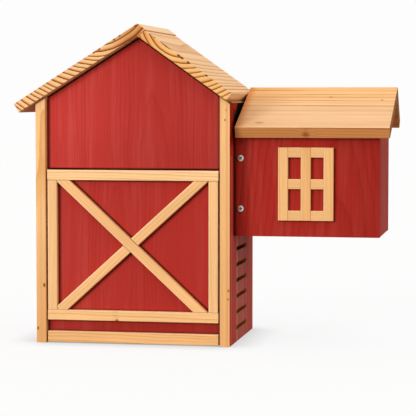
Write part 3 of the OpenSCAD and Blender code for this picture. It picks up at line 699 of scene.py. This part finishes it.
def screw_grid(steps=96):
    """The radius, height and recess grids of one screw, head up, with the head's flat face at height 0.

    The profile goes out over the domed head, in under it, and down the shank. The recess takes from the
    head's height four wings: deepest in the middle, sloping up to the wings' ends, with steep walls. The
    thread adds a ridge to the shank wherever height / pitch plus the turn is near a whole number, and both
    end in a point.
    """
    dome_r, dome_rise, wing_r, wing_half, wall = 3.9, 2.6, 2.3, 0.72, 0.15
    length, smooth_length, tip_length, pitch, smooth_r, root_r, thread = 28, 4, 5.5, 1.8, 1.75, 1.45, 0.55
    angle = np.arange(steps) * 2 * np.pi / steps
    over = np.concatenate([np.linspace(0, wing_r, 26), np.linspace(2.45, dome_r, 8)])
    out = np.concatenate([over, [4.08, 4.17, HEAD_R, HEAD_R, 4.12]])
    dome = np.concatenate([dome_rise - 0.62 * (over / dome_r) ** 2.6, [1.78, 1.5, 1.15, 0.25, 0.0]])
    x, y = np.abs(out[:, None] * np.cos(angle)), np.abs(out[:, None] * np.sin(angle))
    wing = np.clip((wing_half - np.minimum(x, y)) / wall, 0, 1)
    wing = wing * np.clip((wing_r - out[:, None]) / 0.12, 0, 1)
    head = dome[:, None] - wing * np.clip(2.3 - 0.7 * out[:, None], 0.5, 2.3)
    down = np.concatenate([[0.0, -0.3], np.linspace(-0.9, -26.9, 116), [-27.4, -length]])[:, None]
    ridge = np.abs(((down / pitch + angle / (2 * np.pi)) % 1) - 0.5) * 2
    threaded = root_r + thread * np.clip(ridge * 2.2 - 1.2, 0, 1) * (down < -smooth_length)
    shank = np.where(down > -smooth_length, smooth_r, threaded)
    shank = shank * np.clip((down + length) / tip_length, 0, 1) ** 0.8
    radius = np.concatenate([np.repeat(out[:, None], steps, 1), shank])
    height = np.concatenate([head, np.repeat(down, steps, 1)])
    return radius, height, np.concatenate([wing, np.zeros_like(shank)])


screw_radius, screw_height, screw_recess = screw_grid()
FRONTWARDS = Matrix.Rotation(math.radians(90), 4, "X")
BACKWARDS = Matrix.Rotation(math.radians(-90), 4, "X")
RIGHTWARDS = Matrix.Rotation(math.radians(90), 4, "Y")


def driven(x, y, z, direction, turn):
    """The place of a screw whose head's flat face lies at that point, and which was left at that turn."""
    return Matrix.Translation((x, y, z)) @ direction @ Matrix.Rotation(turn, 4, "Z")


def middle(node, axis):
    """The middle of a CAD node along an axis, in millimetres."""
    return (face(node, "-" + axis) + face(node, "+" + axis)) / 2


annex_front, annex_back = face("annex_front_panel", "-Y"), face("annex_back_panel", "+Y")
screws_x = middle("annex_front_screws", "X")
screw_heights = face("annex_front_screws", "-Z") + HEAD_R, face("annex_front_screws", "+Z") - HEAD_R
cleat_face = face("annex_front_cleat", "+X")
cleat_middles = middle("annex_front_cleat", "Y"), middle("annex_back_cleat", "Y")
cleat_heights = face("cleat_screws", "-Z") + HEAD_R, face("cleat_screws", "+Z") - HEAD_R
for node, places in (
        ("annex_front_screws", [driven(screws_x, annex_front, z, FRONTWARDS, turn)
                                for z, turn in zip(screw_heights, (0.08, 0.7))]),
        ("annex_back_screws", [driven(screws_x, annex_back, z, BACKWARDS, turn)
                               for z, turn in zip(screw_heights, (0.2, 0.8))]),
        ("cleat_screws", [driven(cleat_face, y, z, RIGHTWARDS, y + z)
                          for y in cleat_middles for z in cleat_heights])):
    screws = turned(node + "_threaded", screw_radius, screw_height, screw_recess, places, zinc)
    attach(screws, "house")
    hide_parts(node)

# The mock window: nine flat pine strips, 12.5 by 5 mm, glued on the annex front. Three uprights run the full
# height and six short rails are butted between them.
outer_uprights = ("window_left_upright", "window_right_upright")
# Planed pine, a shade yellower than the door's, with a painted highlight on the left or top arris and
# painted shade on the one opposite.
upright_wood = pine(
    "planed_pine_window_uprights", UPRIGHT, (150, -88, 0), "#F3BD80", "#D88D44", ring=3.2, cone=0.008,
    even=0.0, contrast=0.65, wander=8.0, streak=0.12, seed=20.0,
    bands=[line_of("#FFDBA8", ACROSS, face(node, "-X") + 0.4, 0.1, 0.8, 0.7) for node in outer_uprights]
    + [line_of("#C98748", ACROSS, face(node, "+X") - 0.3, 0.0, 0.8, 0.7, 0.3) for node in outer_uprights])
middle_wood = pine(
    "planed_pine_window_middle", UPRIGHT, (150, -110, 0), "#F1B778", "#D3853E", ring=3.0, cone=0.008,
    even=0.0, contrast=0.65, wander=8.0, streak=0.12, seed=21.0,
    bands=(
        line_of("#FFDBA8", ACROSS, face("window_middle_upright", "-X") + 0.45, 0.1, 0.8, 0.7),
        line_of("#C98748", ACROSS, face("window_middle_upright", "+X") - 0.35, 0.0, 0.8, 0.7, 0.3)))
window_rails = ("window_top_rails", "window_middle_rails", "window_bottom_rails")
rail_wood = pine(
    "planed_pine_window_rails", ALONG_X, (0, -90, 130), "#F2BB7E", "#D08640", ring=3.4, cone=0.01, even=0.0,
    wander=8.0, streak=0.12, seed=22.0, end_contrast=0.8,
    bands=[line_of("#FFDBA8", UP, face(node, "+Z") - 0.4, 0.1, 0.7, 0.7) for node in window_rails])
eased("window_left_upright", "house", UPRIGHT, (upright_wood,), arris=0.5)
eased("window_middle_upright", "house", UPRIGHT, (middle_wood,), arris=0.5)
eased("window_right_upright", "house", UPRIGHT, (upright_wood,), arris=0.5)
for node in window_rails:
    eased(node, "house", ALONG_X, (rail_wood,), arris=0.5)

# The door panel: a 9 mm red-stained board behind the battens, bare on the back, with its edges painted dark
# as the shade in the gaps round it. The braces on it run between the stiles from just beside one corner to
# just beside the other.
stile_edge = face("door_right_stile", "-X")
brace_top, brace_foot = face("door_top_rail", "-Z"), face("door_bottom_rail", "+Z")
long_top, long_foot = Vector((7.2 - stile_edge, 0, brace_top)), Vector((stile_edge - 9.8, 0, brace_foot))
half_top, half_foot = Vector((stile_edge - 9.4, 0, brace_top)), Vector((3.8 - stile_edge, 0, brace_foot))


def square_to(top, foot):
    """The direction square to a brace in the door's plane, and the place of its middle line along it."""
    along = (foot - top).normalized()
    square = Vector((-along.z, 0, along.x))
    return tuple(square), square.dot(top)


long_square, long_middle = square_to(long_top, long_foot)
half_square, half_middle = square_to(half_top, half_foot)
brace_edge = 6.3
# The gable's thick stain again, paler on the left, partly uneven stain and partly painted sheen, darker near
# the ground, with the battens' soft shadows painted to their right and below.
door_stain = pine(
    "red_stained_pine_door", UPRIGHT, (-20, -40, 0), "#B2322A", "#8A1A11", ring=3.2, cone=0.004,
    contrast=0.3, worn="#B63B33", streak=0.04, end_contrast=0.4, end_shade=0.3, seed=23.0,
    fades=(fade("X", -100, 40, (1.08, 1.22, 1.25)), fade("Z", 12, 48, (0.76, 0.80, 0.80))),
    bands=[
        line_of("#480D06", ACROSS, -stile_edge, 0, 4.5, 0.85, low=40, high=210),
        line_of("#480D06", ACROSS, stile_edge, 0, 2.0, 0.4, low=40, high=210),
        line_of("#480D06", UP, brace_top, 0, 3.0), line_of("#480D06", UP, brace_foot, 0, 2.5, 0.7),
        line_of("#480D06", UP, face("door_bottom_rail", "-Z"), 0, 3.0),
        line_of("#480D06", UP, face("door_kick_bar", "+Z"), 0, 2.5, 0.7)]
    + [line_of("#3A0905", square, place + side * brace_edge, 0, 2.6 + side * 1.2, 0.65 + side * 0.27,
               low=42, high=210)
       for square, place in ((long_square, long_middle), (half_square, half_middle)) for side in (-1, 1)])
eased("door_panel", "door", UPRIGHT, (door_stain, bare_upright, gap_shade),
      lambda at, facing: (facing[1] > 0.5) * 1 + (np.abs(facing[1]) < 0.5) * 2)

# The door's frame: planed pine battens, 7 mm thick, glued on the panel. The rails and the kick bar run the
# full width, and the stiles stand between the rails. Planed pine, the palest of all, with a painted
# highlight on the arris above or to the left, painted shade on the stiles' right and the bottom rail's lower
# arris, and brown lines at the joints.
top_rail_wood = pine(
    "planed_pine_door_top_rail", ALONG_X, (0, -122, 181), "#FCCE96", "#DA9350", ring=3.0, cone=0.012,
    even=0.0, contrast=0.75, wander=9.0, streak=0.13, seed=24.0,
    bands=(
        line_of("#9A6230", UP, brace_top, 0.0, 0.8, 0.6, 0.3),
        line_of("#FFE2B8", UP, face("door_top_rail", "+Z") - 0.6, 0.2, 0.9, 0.6, 0.3)))
bottom_rail_wood = pine(
    "planed_pine_door_bottom_rail", ALONG_X, (0, -116, 4), "#FECA8F", "#D68840", ring=3.0, cone=0.012,
    even=0.0, contrast=0.75, wander=9.0, streak=0.13, seed=25.0,
    knots=(knot(-20.1, -91.5, 30.6, 1.6),),
    bands=(
        line_of("#FFE0B4", UP, brace_foot - 0.5, 0.2, 0.9, 0.6, 0.3),
        line_of("#C8843E", UP, face("door_bottom_rail", "-Z") + 0.3, 0.0, 0.9, 0.5, 0.3),
        line_of("#D08E4C", ACROSS, -22, 1.0, 5.0, 0.35, 0.9)))
kick_wood = pine(
    "planed_pine_door_kick_bar", ALONG_X, (0, -118, -26), "#F4BD81", "#CC8038", ring=3.2, cone=0.012,
    even=0.0, contrast=0.75, wander=9.0, streak=0.13, seed=26.0,
    bands=(line_of("#FFDFB2", UP, face("door_kick_bar", "+Z") - 0.4, 0.1, 0.8, 0.5, 0.3),))
stiles = ("door_left_stile", "door_right_stile")
rail_joints = [line_of("#945A2A", UP, z, 0.0, 0.7, 0.6, 0.3) for z in (brace_foot, brace_top)]
stile_wood = pine(
    "planed_pine_door_stiles", UPRIGHT, (-70, -140, 0), "#F9C48A", "#DA9048", ring=3.2, cone=0.012, even=0.0,
    contrast=0.7, wander=9.0, streak=0.13, seed=27.0,
    bands=[line_of("#FFE2B8", ACROSS, face(node, "-X") + 0.5, 0.2, 0.9, 0.6) for node in stiles]
    + [line_of("#C27C3A", ACROSS, face(node, "+X") - 0.2, 0.0, 0.9, 0.6, 0.3) for node in stiles]
    + rail_joints)
eased("door_top_rail", "door", ALONG_X, (top_rail_wood,), arris=0.9)
eased("door_bottom_rail", "door", ALONG_X, (bottom_rail_wood,), arris=0.9)
eased("door_kick_bar", "door", ALONG_X, (kick_wood,), arris=0.9)
for node in stiles:
    eased(node, "door", UPRIGHT, (stile_wood,), arris=0.9)

# The crossed braces: the long one goes from corner to corner, mitred to the rails and stiles, and the other
# is two halves butted on its edges. They are planed and glued like the frame, and cut from the same pine.


def grain_from(start, end):
    """The turn that brings the grain of a batten from start to end, in the door's plane, to Z."""
    return 0, math.atan2(start.x - end.x, end.z - start.z), 0


ALONG_LONG = grain_from(long_top, long_foot)
ALONG_HALVES = grain_from(half_foot, half_top)
brace_joints = rail_joints + [line_of("#945A2A", ACROSS, x, 0.0, 0.7, 0.6, 0.3)
                              for x in (-stile_edge, stile_edge)]
# Each brace has a painted highlight on one edge and painted shade on the edge opposite.
long_wood = pine(
    "planed_pine_door_long_brace", ALONG_LONG, (36, -125, 163), "#F8C085", "#D28236", ring=3.0, cone=0.012,
    even=0.0, contrast=1.0, wander=8.0, streak=0.14, seed=28.0,
    bands=[
        line_of("#FFE0B2", long_square, long_middle - 5.8, 0.2, 0.9, 0.7),
        line_of("#BE7834", long_square, long_middle + 6.0, 0.1, 0.9, 0.6, 0.3)]
    + brace_joints)
half_wood = pine(
    "planed_pine_door_half_braces", ALONG_HALVES, (-34, -126, 164), "#F8C288", "#D28236", ring=3.0,
    cone=0.012, even=0.0, contrast=1.0, wander=8.0, streak=0.14, seed=29.0,
    bands=[
        line_of("#FFE0B2", half_square, half_middle - 5.8, 0.2, 0.9, 0.7),
        line_of("#BE7834", half_square, half_middle + 6.0, 0.1, 0.9, 0.6, 0.3)]
    + [line_of("#8E5424", long_square, long_middle + side * 6.5, 0.0, 0.8) for side in (-1, 1)]
    + brace_joints)
eased("door_long_brace", "door", ALONG_LONG, (long_wood,), arris=0.9)
eased("door_upper_brace", "door", ALONG_HALVES, (half_wood,), arris=0.9)
eased("door_lower_brace", "door", ALONG_HALVES, (half_wood,), arris=0.9)

# The door's pivots: two blind steel pins, 3 mm thick, driven through the panel's edges into the posts. Their
# ends are chamfered, and all that shows of them is a glint in the gap beside the door.
PIN_R, PIN_LENGTH = 1.5, 30.1
pin_profile = np.array([[0, 0], [1.2, 0], [1.4, 0.1], [PIN_R, 0.3], [PIN_R, PIN_LENGTH / 2],
                        [PIN_R, PIN_LENGTH - 0.3], [1.4, PIN_LENGTH - 0.1], [1.2, PIN_LENGTH],
                        [0, PIN_LENGTH]])
pin_radius, pin_along = (np.repeat(column[:, None], 48, 1) for column in pin_profile.T)
pivot_y, pivot_z = middle("door_pivot_pins", "Y"), middle("door_pivot_pins", "Z")
pin_starts = face("door_pivot_pins", "-X"), face("door_pivot_pins", "+X") - PIN_LENGTH
pins = turned("door_pivot_pins_turned", pin_radius, pin_along, 0 * pin_radius,
              [Matrix.Translation((x, pivot_y, pivot_z)) @ RIGHTWARDS for x in pin_starts], zinc)
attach(pins, "door")
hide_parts("door_pivot_pins")
